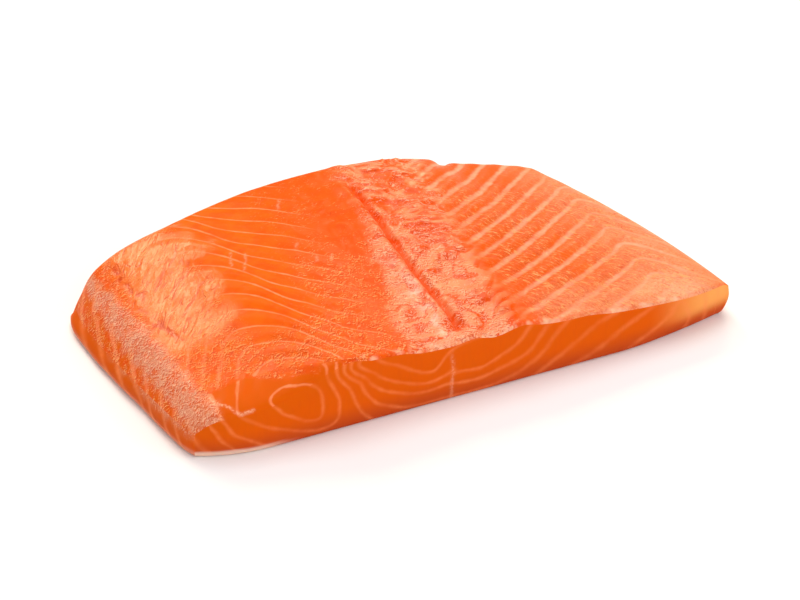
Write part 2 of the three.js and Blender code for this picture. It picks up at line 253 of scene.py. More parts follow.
def noise(x, y, seed):
    """Smooth seeded noise from -1 to 1 over a square lattice."""
    def corner(i, j):
        wave = np.sin(i * 127.1 + j * 311.7 + seed * 74.7) * 43758.5453
        return 2 * (wave - np.floor(wave)) - 1
    i, j = np.floor(x), np.floor(y)
    across, along = (t * t * t * (t * (6 * t - 15) + 10) for t in (x - i, y - j))
    near = lerp(corner(i, j), corner(i + 1, j), across)
    far = lerp(corner(i, j + 1), corner(i + 1, j + 1), across)
    return lerp(near, far, along)


def layered(x, y, seed, layers=3):
    """Noise from about -1 to 1 with finer noise laid on it."""
    total = sum(noise(x * 2 ** k + 5.2 * k, y * 2 ** k - 3.7 * k, seed + k) / 2 ** k for k in range(layers))
    return total / (2 - 0.5 ** (layers - 1))


def turned(x, corner_x, turn):
    """How far a cut's outline has turned at x, from 0 where the turn starts to 1 at the corner."""
    return positive((x - turn["start"]) / (corner_x - turn["start"])) ** turn["power"]


def wander(x, y, reach, across, along, seed, layers=3):
    """Uneven offset, up to the reach, whose swings are as long as the sizes across and along."""
    return reach * layered(x / across, y / along, seed, layers)


def near_edge(corners, u):
    """Outline of the near cut, seen from above."""
    spine, belly = corners["near_spine"], corners["near_belly"]
    x = MIDLINE_NEAR_X + u * np.where(u < 0, MIDLINE_NEAR_X - spine[0], belly[0] - MIDLINE_NEAR_X)
    belly_turn = NEAR_BELLY_FOOT_TURN if corners is FOOT else NEAR_BELLY_TURN
    y = (
        NEAR_CUT_Y + (spine[1] - NEAR_CUT_Y) * turned(x, spine[0], NEAR_SPINE_TURN)
        + (belly[1] - NEAR_CUT_Y) * turned(x, belly[0], belly_turn)
    )
    return x, y


def far_edge(corners, u):
    """Outline of the far cut, a shallow bow."""
    def bow(at):
        out = (at - FAR_CUT_BOW["middle_x"]) / FAR_CUT_BOW["half_width"]
        return FAR_CUT_Y - FAR_CUT_BOW["depth"] * out ** 2
    spine, belly = corners["far_spine"], corners["far_belly"]
    x = MIDLINE_FAR_X + u * np.where(u < 0, MIDLINE_FAR_X - spine[0], belly[0] - MIDLINE_FAR_X)
    y = (
        bow(x) - (bow(spine[0]) - spine[1]) * turned(x, spine[0], FAR_SPINE_TURN)
        - (bow(belly[0]) - belly[1]) * turned(x, belly[0], FAR_BELLY_TURN)
    )
    return x, y


def spine_edge(corners, v):
    near_turn = SPINE_NEAR_TURN["inset"] * (1 - v - positive(1 - v / SPINE_NEAR_TURN["length"]) ** 2)
    reach = SPINE_FAR_SWELL["foot"] if corners is FOOT else SPINE_FAR_SWELL["rim"]
    far_swell = reach * v * v * (1 - v ** SPINE_FAR_SWELL["power"])
    straight = lerp(corners["near_spine"][0], corners["far_spine"][0], v)
    x = straight - SPINE_BOW * v * (1 - v) - near_turn - far_swell
    return x, lerp(corners["near_spine"][1], corners["far_spine"][1], v)


def belly_edge(corners, v):
    x = lerp(corners["near_belly"][0], corners["far_belly"][0], v) + BELLY_BOW * v * (1 - v)
    return x, lerp(corners["near_belly"][1], corners["far_belly"][1], v)


def plan(corners, u, v):
    """Place of (u, v) seen from above, blended from the four edges."""
    s = (u + 1) / 2
    near, far = near_edge(corners, u), far_edge(corners, u)
    spine, belly = spine_edge(corners, v), belly_edge(corners, v)
    place = []
    for axis in (0, 1):
        corner_blend = lerp(
            lerp(corners["near_spine"][axis], corners["near_belly"][axis], s),
            lerp(corners["far_spine"][axis], corners["far_belly"][axis], s),
            v,
        )
        place.append(lerp(near[axis], far[axis], v) + lerp(spine[axis], belly[axis], s) - corner_blend)
    return place


def near_cut_height(u):
    return np.where(u < 0, through(NEAR_SPINE_HEIGHTS, abs(u)), through(NEAR_BELLY_HEIGHTS, abs(u)))


def far_cut_height(u):
    return np.where(u < 0, through(FAR_SPINE_HEIGHTS, abs(u)), through(FAR_BELLY_HEIGHTS, abs(u)))


def flesh_height(u, v):
    """Height of the flesh before its edges are rounded."""
    return lerp(near_cut_height(u), far_cut_height(u), v) + CROWN * 4 * v * (1 - v) * (1 - u * u)


def crisp_drop(distance, width, drop):
    """Drop of a crisp, round edge at a distance from the rim."""
    q = np.clip(1 - distance / width, 0, 1)
    return drop * (1 - np.sqrt(1 - q * q))


def soft_drop(distance, edge):
    """Drop of a soft edge that runs on into the wall."""
    return edge["drop"] * positive(1 - distance / edge["width"]) ** 2


def rounding(u, v):
    soft = ease(NEAR_EDGE_SOFTER["starts"], NEAR_EDGE_SOFTER["full"], u)
    width = NEAR_EDGE["width"] + NEAR_EDGE_SOFTER["width"] * soft
    near = crisp_drop(v * PORTION_LENGTH, width, NEAR_EDGE["drop"] + NEAR_EDGE_SOFTER["drop"] * soft)
    far = crisp_drop((1 - v) * PORTION_LENGTH, FAR_EDGE["width"], FAR_EDGE["drop"])
    side = np.where(
        u < 0,
        soft_drop((1 + u) * SPINE_HALF_WIDTH, SPINE_EDGE),
        soft_drop((1 - u) * BELLY_HALF_WIDTH, BELLY_EDGE),
    )
    return np.sqrt(near ** 2 + far ** 2 + side ** 2)


def groove_wander(y):
    return wander(y, 0 * y, **GROOVE_WANDER)


def groove_relief(x, y):
    length = ease(*GROOVE["near_end"], y) * ease(*GROOVE["far_end"], y)
    off = groove_wander(y)
    groove = -GROOVE["depth"] * bell((x - GROOVE["x"] - off) / GROOVE["half_width"])
    lip = LIP["height"] * bell((x - LIP["x"] - off) / LIP["half_width"])
    from_pit = np.hypot(x - PIT["x"], (y - PIT["y"]) * PIT["shortening"])
    return (groove + lip) * length - PIT["depth"] * bell(from_pit / PIT["radius"])


def lump_relief(x, y, lumps):
    zone = bell((x - lumps["middle"]) / lumps["half_width"])
    warp = noise(x / LUMP_WARP["size"], y / LUMP_WARP["size"], lumps["seed"] + 1) * LUMP_WARP["reach"]
    ridges = 1 - 2 * np.abs(noise(x / lumps["across"] + warp, y / lumps["along"] - warp, lumps["seed"]))
    turn = lerp(-1, 1, ease(CREASES_END_Y, RIDGES_START_Y, y))
    return lumps["height"] * zone * ridges * turn


def spine_sheets(x, y):
    """How many sheets of the spine side's stack lie beyond (x, y)."""
    return (through(SPINE_SHEET, x + SPINE_SHEET_LEAN * y) + SPINE_FIRST_SHEET - y) / SPINE_PITCH


def belly_sheets(x, y):
    return (through(BELLY_SHEET, x) - y) / through(BELLY_PITCH, x)


def stack_share(x, stack):
    return ease(*stack["fades_in"], x) * ease(*stack["fades_out"], x)


def flake_relief(x, y):
    """Flesh swelling between the muscle sheets, on either side of the midline."""
    def swell(phase):
        return 0.5 - 0.5 * np.cos(2 * math.pi * phase)
    spine = SPINE_FLAKE_HEIGHT * stack_share(x, SPINE_STACK) * swell(spine_sheets(x, y))
    return spine + BELLY_FLAKE_HEIGHT * stack_share(x, BELLY_STACK) * swell(belly_sheets(x, y))


def folds_start(y):
    """How far the membrane's long folds have taken over from its broad ones, from near to far."""
    return ease(-10, 4, y)


def wrinkles(x, y):
    """The membrane's folds from about -1 to 1: long ones over the far half, broad ones over the near."""
    warp = 0.8 * noise(x / 6, y / 6, 31)
    level, square = 0.9 * x - 0.43 * y, 0.43 * x + 0.9 * y
    long_ridges = np.abs(layered(level / 7.0 + warp, square / 2.1 + 1.6 * warp, 32, 2))
    along, across = 0.8 * x + 0.6 * y, 0.8 * y - 0.6 * x
    broad_ridges = np.abs(layered(along / 6.0 - warp, across / 4.2 + warp, 34, 2))
    long_folds = 1.1 - 3.0 * long_ridges
    broad_folds = 0.9 - 1.8 * positive(1 - 5 * broad_ridges) ** 2
    return np.clip(lerp(broad_folds, long_folds, folds_start(y)), -1.2, 1)


# Edges of the zones of the top, as (y, x) points, but the slope's as (x, y)
MEMBRANE_SPINE_EDGE = [
    (-36, -13.5), (-26, -12), (-17, -9.5), (-6, -6.8), (1, -4.8), (10, -2.6), (27, -1),
]
MEMBRANE_BELLY_EDGE = [(-36, 14), (-22, 14), (-12, 15.5), (-3, 17), (8, 18.5), (22, 21), (36, 23)]
GLOSS_EDGE = [(-13, -48), (-8, -44), (-3, -42.5), (5, -43), (12, -42), (20, -40.5), (33, -40)]
SILVER_OUTER_EDGE = [(-32, -61.9), (-28, -62.4), (-18, -63.2), (-8, -64), (17, -64.5), (27, -64)]
SILVER_INNER_EDGE = [
    (-30, -56.5), (-24, -57.4), (-15, -58.1), (-4, -58.8), (5, -59.9), (17, -60.6), (28, -62),
]
SLOPE_EDGE = [
    (-58, -27), (-52, -25.5), (-48, -25.5), (-42.6, -30.8), (-39, -32.4), (-33, -34.2), (-27, -35),
]

# How the edges of the zones wander, and the crinkles of the wet skin and of the silver band
MEMBRANE_WANDER = {"reach": 2.2, "across": 4, "along": 3, "seed": 41}
GLOSS_WANDER = {"reach": 7, "across": 7, "along": 5, "seed": 43, "layers": 4}
SILVER_WANDER = {"reach": 1.1, "across": 1.6, "along": 3, "seed": 45}
SLOPE_WANDER = {"reach": 1.6, "across": 2.5, "along": 2, "seed": 47}
RIM_WANDER = {"reach": 1.2, "across": 2.5, "along": 1.5, "seed": 81}
CRINKLES = {"reach": 0.10, "across": 1.5, "along": 1.5, "seed": 61}
SILVER_CRINKLES = {"reach": 0.12, "across": 1.1, "along": 1.8, "seed": 63}


def membrane_zone(x, y):
    """Where the crumpled membrane lies: a band along the midline, wider on its belly side."""
    spine_side, belly_side = through(MEMBRANE_SPINE_EDGE, y), through(MEMBRANE_BELLY_EDGE, y)
    torn_x = x + wander(x, y, **MEMBRANE_WANDER)
    return ease(spine_side - 1.5, spine_side + 2.5, torn_x) * ease(belly_side + 3, belly_side - 3, torn_x)


def gloss_zone(x, y):
    """The wet shine over the thick of the spine side, which the colour also paints as a sheen."""
    edge = through(GLOSS_EDGE, y)
    ragged = wander(x, y, **GLOSS_WANDER)
    ends = ease(-60, -56, x) * ease(-13, -6, y + 0.3 * ragged)
    return ease(edge + 4.5, edge - 4.5, x + ragged) * ends


def silver_zone(x, y):
    """The band of torn silver membrane where the spine side turns down."""
    outer, inner = through(SILVER_OUTER_EDGE, y), through(SILVER_INNER_EDGE, y)
    torn_x = x + wander(x, y, **SILVER_WANDER)
    return ease(outer - 1.2, outer + 0.8, torn_x) * ease(inner + 1.6, inner - 1.2, torn_x)


def near_slope_zone(x, y):
    """The smooth slope between the thick of the spine side and the near cut."""
    edge = through(SLOPE_EDGE, x)
    torn_y = y + wander(x, y, **SLOPE_WANDER)
    return ease(edge + 1.5, edge - 1.5, torn_y) * ease(-26, -30, x)


def crinkle_zone(x, y):
    """Where the wet skin of the flesh is finely crinkled."""
    near_band = ease(-12, -26, y) * ease(-14, -30, x) * ease(-60, -54, x)
    spine_band = ease(-38, -46, x)
    midline = ease(-32, -18, x) * ease(16, 8, x) * lerp(0.35, 0.95, ease(12, -6, y))
    rough = np.clip(near_band + spine_band + midline, 0, 1)
    return rough * (1 - near_slope_zone(x, y)) * (1 - 0.8 * gloss_zone(x, y))


# Lines on the top, as (x, y) points, how wide each kind is and how it wanders
KNIFE_STREAKS = [
    [(-53, 14), (-48.4, 18.8), (-43, 25)],
    [(-51.2, 8.8), (-45.7, 14.3), (-42.9, 17.7)],
    [(-51, 1), (-47, 5), (-43, 9.5)],
]
CREASE_ROW = [
    (-58, 30), (-57.5, 24.5), (-56.6, 19), (-57, 11.6), (-57.2, 5), (-56.2, 1.4), (-54.8, -2), (-54, -6),
]
TORN_THREAD = [(-57, -27), (-56.4, -30.1), (-52.5, -35.1), (-49.3, -35.4)]
PALE_NICKS = [
    [(-31.8, 11.4), (-34.1, 6.1)], [(-17.7, 3.1), (-18.7, 0.8)], [(-16.5, 27.8), (-18.2, 24.0)],
    [(-34.6, 13.7), (-36.2, 9.1)], [(-14.6, 2.2), (-15.4, 0.2)], [(-20.1, 9.2), (-20.8, 7.2)],
]
STREAK_HALF_WIDTH = 0.35
CREASE_HALF_WIDTH = 0.8
THREAD_HALF_WIDTH = 0.22
PALE_NICK_HALF_WIDTH = 0.25
STREAK_WANDER = {"reach": 0.4, "across": 3, "along": 3, "seed": 51, "layers": 1}
CREASE_WANDER = {"reach": 1.3, "across": 2.5, "along": 2.5, "seed": 57, "layers": 2}
THREAD_WANDER = {"reach": 0.3, "across": 1.5, "along": 1.5, "seed": 53, "layers": 1}
PALE_NICK_WANDER = {"reach": 0.5, "across": 1.5, "along": 1.5, "seed": 55, "layers": 1}


def distance_to(route, x, y):
    """Distance from each (x, y) to a line through the route's points."""
    nearest = np.full(x.shape, np.inf)
    for (ax, ay), (bx, by) in zip(route, route[1:]):
        t = np.clip(((x - ax) * (bx - ax) + (y - ay) * (by - ay)) / ((bx - ax) ** 2 + (by - ay) ** 2), 0, 1)
        nearest = np.minimum(nearest, np.hypot(x - lerp(ax, bx, t), y - lerp(ay, by, t)))
    return nearest


def knife_streaks(x, y):
    off = wander(x, y, **STREAK_WANDER)
    return sum(bell(distance_to(streak, x + off, y - off) / STREAK_HALF_WIDTH) for streak in KNIFE_STREAKS)


def crease_row(x, y):
    """The ragged row of short creases between the silver band and the gloss, which the colour darkens as
    painted shade.
    """
    broken = ease(-0.25, 0.2, layered(x / 1.1, y / 1.4, 59, 2))
    return bell(distance_to(CREASE_ROW, x + wander(x, y, **CREASE_WANDER), y) / CREASE_HALF_WIDTH) * broken


def pale_nicks(x, y):
    off = wander(x, y, **PALE_NICK_WANDER)
    return sum(bell(distance_to(nick, x + off, y + off) / PALE_NICK_HALF_WIDTH) for nick in PALE_NICKS)


def torn_thread(x, y):
    return bell(distance_to(TORN_THREAD, x + wander(x, y, **THREAD_WANDER), y) / THREAD_HALF_WIDTH)


def top_relief(u, v, x, y):
    """Height of the relief on the top. The large forms fade out before the rim, the fine ones near it."""
    out = np.abs(u)
    inside = ease(0, 0.05, v) * ease(1, 0.97, v) * ease(1, 0.9, out)
    near_rim = ease(0, 0.02, v) * ease(1, 0.985, v) * ease(1, 0.97, out)
    size = TOP_UNEVEN["size"]
    uneven = TOP_UNEVEN["height"] * noise(x / size, y / size, TOP_UNEVEN["seed"])
    lumps = lump_relief(x, y, BELLY_LUMPS) + lump_relief(x, y, SPINE_LUMPS)
    nick_length = ease(NICK["length"], 0, (1 - v) * PORTION_LENGTH)
    nick = NICK["depth"] * bell((x - NICK["x"]) / NICK["half_width"]) * nick_length
    fine = (
        lerp(*WRINKLE_HEIGHTS, folds_start(y)) * membrane_zone(x, y) * wrinkles(x, y)
        + crinkle_zone(x, y) * wander(x, y, **CRINKLES)
        + silver_zone(x, y) * wander(x, y, **SILVER_CRINKLES)
        - STREAK_DEPTH * knife_streaks(x, y)
        - CREASE_DEPTH * crease_row(x, y)
    )
    return (groove_relief(x, y) + lumps + flake_relief(x, y) + uneven) * inside + fine * near_rim - nick


def fullness(level):
    """Share of a wall's swell at a level, from none at the foot through all of it to none at the rim."""
    power = (1 - FULLEST_LEVEL) / FULLEST_LEVEL
    return (level / FULLEST_LEVEL) * ((1 - level) / (1 - FULLEST_LEVEL)) ** power


def wall_place(foot, rim, outward, v, level):
    """Place on a wall at a level from 0 at the foot to 1 at the rim."""
    z = rim[2] * level
    swell = (
        SPINE_SWELL * (0.5 + 0.5 * v) * positive(-outward[0]) ** 1.5
        + BELLY_SWELL * positive(outward[0]) ** 1.5
        + CUT_SWELL * outward[1] ** 2
    )
    uneven = WALL_UNEVEN["height"] * noise(
        foot[0] / WALL_UNEVEN["size"], (foot[1] + z) / WALL_UNEVEN["size"], WALL_UNEVEN["seed"]
    )
    inset = crisp_drop(z, FOOT_EDGE["height"], FOOT_EDGE["inset"])
    out = (swell + uneven) * fullness(level) - inset
    x, y = (lerp(foot[axis], rim[axis], level) + outward[axis] * out for axis in (0, 1))
    return x, y, z


def bent_sheet(samples, stiffness=0.02, stretch=(1.0, 1.6), batch=4000):
    """The smoothest function of two coordinates through (value, points) samples, like a bent thin plate."""
    scale = np.array(stretch)
    nodes = np.array([point for value, points in samples for point in points], float) * scale
    values = np.array([value for value, points in samples for point in points], float)

    def bend(a, b):
        d = np.maximum(((a[:, None] - b[None]) ** 2).sum(-1), 1e-9)
        return 0.5 * d * np.log(d)

    flat = np.column_stack([np.ones(len(nodes)), nodes])
    system = np.block([
        [bend(nodes, nodes) + stiffness * np.eye(len(nodes)), flat],
        [flat.T, np.zeros((3, 3))],
    ])
    weights = np.linalg.solve(system, np.concatenate([values, np.zeros(3)]))

    def at(a, b):
        asked = np.column_stack([np.ravel(a), np.ravel(b)]) * scale
        result = np.zeros(len(asked))
        for start in range(0, len(asked), batch):
            part = asked[start:start + batch]
            tilt = np.column_stack([np.ones(len(part)), part]) @ weights[-3:]
            result[start:start + batch] = bend(part, nodes) @ weights[:-3] + tilt
        return result.reshape(np.shape(a))

    return at


cut_sheets = bent_sheet(CUT_SHEETS)

# Least and greatest distance between two sheets that the material is given
SPACING_LIMITS = (1, 12)


def spacing(field, a, b):
    """Distance in millimetres from one sheet to the next, measured square across them."""
    h = 0.05
    slope = np.hypot(field(a + h, b) - field(a - h, b), field(a, b + h) - field(a, b - h)) / (2 * h)
    return np.clip(1 / np.maximum(slope, 1e-3), *SPACING_LIMITS)


def stations(span, first, last):
    """Distances along a span as fractions: fine first steps, then even ones, then fine last steps."""
    middle = span - sum(first) - sum(last)
    count = round(middle / EVEN_STEP)
    steps = [*first, *[middle / count] * count, *last]
    return np.concatenate([[0], np.cumsum(steps)]) / sum(steps)


def near_rim_y(x):
    """Where the near cut's rim runs, seen from above."""
    spine_turn = (SPINE_CORNER_Y - NEAR_CUT_Y) * turned(x, SPINE_CORNER_X, NEAR_SPINE_TURN)
    belly_turn = (BELLY_CORNER_Y - NEAR_CUT_Y) * turned(x, BELLY_CORNER_X, NEAR_BELLY_TURN)
    return NEAR_CUT_Y + spine_turn + belly_turn


FLANK_STARTS_X = -61.2


def top_sheets(x, y, z, slope, gloss):
    """The muscle sheets on the top: their number, spacing, strength and half width at every point."""
    spine_side = x < -1
    flank = x < FLANK_STARTS_X
    on_slope = slope > 0.5
    run = SPINE_CORNER_X + SPINE_CORNER_Y - y
    from_rim = y - near_rim_y(x)
    slope_x = x + SLOPE_LEAN[0] * from_rim
    slope_z = z + SLOPE_LEAN[1] * from_rim

    def by_place(on_flank, on_the_slope, on_spine_side, on_belly_side):
        inner = np.where(on_slope, on_the_slope, np.where(spine_side, on_spine_side, on_belly_side))
        return np.where(flank, on_flank, inner)

    number = by_place(
        cut_sheets(run, z), cut_sheets(slope_x, slope_z), spine_sheets(x, y), belly_sheets(x, y),
    )
    gap = by_place(
        spacing(cut_sheets, run, z), 1.2 * spacing(cut_sheets, slope_x, slope_z),
        spacing(spine_sheets, x, y), spacing(belly_sheets, x, y),
    )
    spine_line = 0.85 * ease(-11, -20, x) * ease(FLANK_STARTS_X, -59.5, x)
    spine_line = spine_line * (1 - 0.8 * gloss) * (1 - 0.4 * ease(-44, -50, x)) * ease(0.45, 0.2, slope)
    belly_line = ease(13, 21, x) * (1 - 0.2 * ease(52, 60, x))
    strength = by_place(
        0.7 * ease(FLANK_STARTS_X, -61.8, x), 0.85 * ease(0.55, 0.8, slope), spine_line, belly_line,
    )
    spine_half = 0.2 + 0.25 * ease(-40, -48, x) * ease(-8, -16, y)
    half = by_place(0.5, 0.42, spine_half, lerp(0.62, 0.5, ease(42, 60, x)))
    return {"sheet": number, "sheet_gap": gap, "line": strength, "line_half": half}


def top_fields(x, y, z):
    """What the material reads on the top, each a number at every point. A field left out is nought."""
    gloss = gloss_zone(x, y)
    slope = near_slope_zone(x, y)
    torn_from_rim = y - near_rim_y(x) + wander(x, y, **RIM_WANDER)
    torn_rim = ease(1.8, 0.2, torn_from_rim) * ease(-34, -26, x) * ease(64, 56, x)
    from_groove = x - GROOVE["x"] - groove_wander(y)
    fibre = ease(14, 22, x) * ease(68, 62, x)
    pale_edge = 0.55 * ease(38, 60, x) * ease(70, 66, x)
    pale_near = 0.5 * ease(14, 20, x) * ease(-20, -33, y) * ease(66, 58, x)
    return {
        **top_sheets(x, y, z, slope, gloss),
        "membrane": membrane_zone(x, y),
        "crest": wrinkles(x, y),
        # How pale the membrane's crests are painted, partly its own colour and partly painted highlight
        "paleness": lerp(0.66, 0.52, ease(-25, 10, y)),
        "red": ease(-30, -10, x) * ease(30, 12, x) * (0.6 + 0.4 * ease(30, 0, y)),
        "silver": silver_zone(x, y),
        "gloss": gloss,
        "slope": np.maximum(slope, 0.7 * ease(-60, -62, x)),
        "ragged": torn_rim * ease(-0.1, 0.5, layered(x / 1.8, y / 1.8, 83)),
        "groove": bell(from_groove / 0.6) * ease(-34, -30, y) * ease(29, 22, y),
        "crinkle": crinkle_zone(x, y),
        # Where the lip beside the groove gets its painted highlight
        "shine": bell((x + 2.6) / 1.9) * ease(-2, -12, y) * ease(-37, -34, y),
        "fibre": fibre,
        "fibrous": fibre * lerp(0.2, 1.0, ease(30, 8, y)),
        "pale": pale_edge + pale_near,
        # Painted shade in the knife streaks and the row of creases
        "streak": knife_streaks(x, y) + 1.6 * crease_row(x, y),
        "thread": torn_thread(x, y) + 0.5 * pale_nicks(x, y),
    }


def wall_fields(x, y, z, z_rim, outward, u, v):
    """What the material reads on the cuts, the flank and the belly edge. A field left out is nought."""
    near, far = ease(-0.55, -0.8, outward[1]), ease(0.55, 0.8, outward[1])
    spine, belly = ease(0.55, 0.8, -outward[0]), ease(0.55, 0.8, outward[0])
    down_flank = np.minimum(x, SPINE_CORNER_X + SPINE_CORNER_Y - y)
    run = np.where(x < SPINE_CORNER_X + CORNER_REACH, down_flank, x)
    up_belly_edge = np.maximum(run, BELLY_CORNER_X + y - BELLY_CORNER_Y)
    run = np.where(x > BELLY_CORNER_X - CORNER_REACH, up_belly_edge, run)

    # The far cut shows the same sheets as the near one, a portion's length further along the fish
    on_far = (v > 0.999) & (np.abs(u) < 0.999)
    near_x = MIDLINE_NEAR_X + u * np.where(u < 0, NEAR_SPINE_SPREAD, NEAR_BELLY_SPREAD)
    a = np.where(on_far, near_x, run)
    b = np.where(on_far, z * near_cut_height(u) / far_cut_height(u), z)

    near_line = 0.52 - 0.1 * ease(0, 20, x)
    spine_line = 0.8 * (0.6 + 0.4 * ease(6, 2, z))
    septum = bell((x + 2.5 + 0.3 * noise(z / 4, z * 0, 71)) / 0.35) * near * ease(14, 10, z)
    base = ease(1.7, 0.9, z + 0.35 * noise(x / 5, y / 5, 73)) * ease(-38, -50, x) * near
    return {
        "sheet": cut_sheets(a, b) + np.where(on_far, FAR_SHEET_OFFSET, 0),
        "sheet_gap": spacing(cut_sheets, a, b),
        "line": near_line * near + 0.6 * far + spine_line * spine + 0.6 * belly,
        "line_half": lerp(0.36, 0.5, spine) + 0.2 * ease(0, 25, x),
        "red": 0.35 * ease(-30, -10, x) * ease(30, 10, x),
        "silver": spine * ease(3.2, 7.5, z + 1.2 * layered(y / 2, z / 2, 77)) * ease(30, 20, y),
        "slope": np.maximum(0.7 * spine, near * ease(-26, -32, x) * ease(5.5, 0.5, z_rim - z)),
        "pale": 0.8 * ease(46, 64, x) * ease(1, 5, z),
        "thread": 0.4 * septum,
        "cut": np.ones_like(x),
        # Darker towards the foot of the cut, as painted shade
        "low": ease(6.5, 0, z) * (1 - 0.6 * spine),
        "fat": base + 0.35 * spine * ease(2.5, 0.8, z),
    }


def portion_mesh():
    """The portion's points, faces and fields. Each face corner gets its fields from the side it is on."""
    spine_columns = stations(SPINE_HALF_WIDTH, SIDE_EDGE_STEPS, []) - 1
    belly_columns = stations(BELLY_HALF_WIDTH, [], SIDE_EDGE_STEPS[::-1])[1:]
    columns = np.concatenate([spine_columns, belly_columns])
    rows = stations(PORTION_LENGTH, CUT_EDGE_STEPS, CUT_EDGE_STEPS[::-1])
    u, v = np.meshgrid(columns, rows)
    x, y = plan(RIM, u, v)
    z = flesh_height(u, v) - rounding(u, v) + top_relief(u, v, x, y)
    top = np.arange(x.size).reshape(x.shape)

    ring = np.concatenate([top[0, :-1], top[:-1, -1], top[-1, :0:-1], top[:0:-1, 0]])
    rim = [axis.ravel()[ring] for axis in (x, y, z)]
    foot = plan(FOOT, u.ravel()[ring], v.ravel()[ring])
    run_x, run_y = (np.roll(axis, -1) - np.roll(axis, 1) for axis in rim[:2])
    length = np.hypot(run_x, run_y)
    outward = (run_y / length, -run_x / length)
    ring_u, ring_v = u.ravel()[ring], v.ravel()[ring]

    levels = np.linspace(0, 1, WALL_STEPS + 1)[:-1]
    walls = [wall_place(foot, rim, outward, ring_v, level) for level in levels]
    foot_x, foot_y = walls[0][0], walls[0][1]
    shrink = [1 - k / (UNDERSIDE_RINGS + 1) for k in range(1, UNDERSIDE_RINGS + 1)]
    under = [(foot_x * s, foot_y * s, 0 * foot_x) for s in shrink]
    rings = [*under[::-1], *walls]
    points = np.column_stack([
        np.concatenate([values.ravel(), *[r[axis] for r in rings], [0.0]])
        for axis, values in enumerate((x, y, z))
    ])

    first = x.size
    ring_index = [first + k * len(ring) + np.arange(len(ring)) for k in range(len(rings))] + [ring]
    top_quads = np.stack([top[:-1, :-1], top[:-1, 1:], top[1:, 1:], top[1:, :-1]], -1).reshape(-1, 4)
    side_quads = np.concatenate([
        np.stack([low, np.roll(low, -1), np.roll(high, -1), high], -1)
        for low, high in zip(ring_index, ring_index[1:])
    ])
    centre = len(points) - 1
    fan = np.stack([np.full(len(ring), centre), np.roll(ring_index[0], -1), ring_index[0]], -1)

    on_top = top_fields(x.ravel(), y.ravel(), z.ravel())
    side_x, side_y, side_z = (np.concatenate([r[k] for r in rings] + [rim[k]]) for k in range(3))
    repeats = len(rings) + 1
    on_side = wall_fields(
        side_x, side_y, side_z, np.tile(rim[2], repeats), [np.tile(axis, repeats) for axis in outward],
        np.tile(ring_u, repeats), np.tile(ring_v, repeats),
    )
    side_row = np.zeros(len(points), int)
    side_row[np.concatenate(ring_index)] = np.arange(len(side_x))
    side_corners = side_row[np.concatenate([side_quads.ravel(), fan.ravel()])]
    corner_fields = {}
    for name in dict.fromkeys([*on_top, *on_side]):
        top_values = on_top.get(name, np.zeros(x.size))
        side_values = on_side.get(name, np.zeros(side_x.size))
        corner_fields[name] = np.concatenate([top_values[top_quads.ravel()], side_values[side_corners]])
    faces = [*top_quads.tolist(), *side_quads.tolist(), *fan.tolist()]
    return points, faces, corner_fields


def make_portion():
    points, faces, fields = portion_mesh()
    solid_low, solid_high = (np.array(corner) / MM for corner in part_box("fillet"))
    shift = (solid_low + solid_high - points.min(0) - points.max(0)) / 2
    shift[2] = 0
    mesh = bpy.data.meshes.new("smoked_trout")
    mesh.from_pydata(((points + shift) * MM).tolist(), [], faces)
    for name, values in fields.items():
        mesh.attributes.new(name, "FLOAT", "CORNER").data.foreach_set("value", values.astype(np.float32))
    mesh.shade_smooth()
    portion = bpy.data.objects.new("smoked_trout", mesh)
    bpy.context.scene.collection.objects.link(portion)
    return portion, shift


